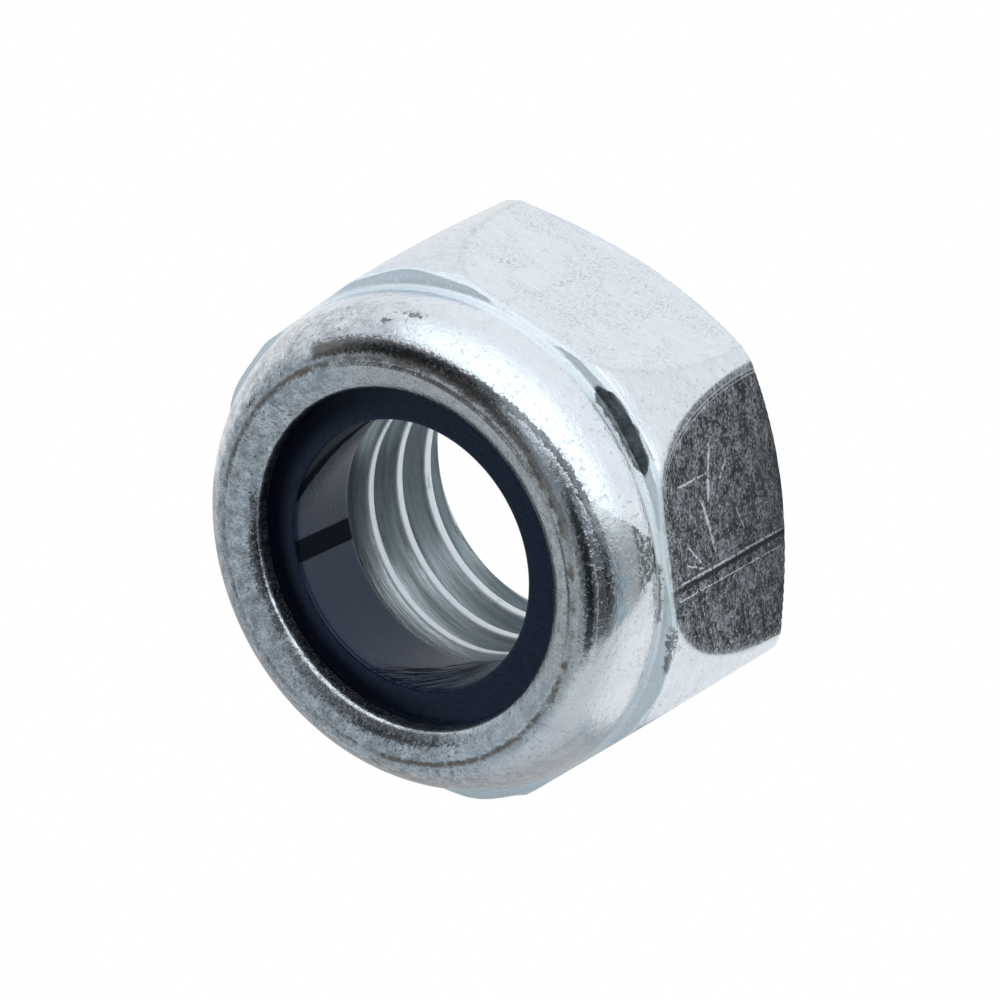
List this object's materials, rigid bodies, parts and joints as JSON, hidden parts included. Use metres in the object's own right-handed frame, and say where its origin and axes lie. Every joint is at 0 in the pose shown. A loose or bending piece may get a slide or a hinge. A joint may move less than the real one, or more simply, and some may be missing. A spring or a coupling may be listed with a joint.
{
  "type": "threaded nut",
  "caption": "Hexagon lock nut with a rolled collar that traps a dark polymer locking ring, zinc plated, for an 8 mm coarse metric thread.",
  "frame": {"origin": "centre of the bearing face, on the thread axis", "axes": "+Z along the thread axis from the bearing face to the rolled collar, +X through a corner of the hexagon, +Y square to one of its flats"},
  "size_m": [0.0146, 0.0128, 0.0077],
  "materials": {
    "zinc_plated_steel": "bright zinc plate, blue-white, with fine speckle, scuffs and tool marks",
    "navy_polymer": "semi-gloss moulded polymer, dark navy"
  },
  "bodies": {
    "root": {"nut_body": "zinc_plated_steel", "locking_ring": "navy_polymer"}
  },
  "joints": []
}
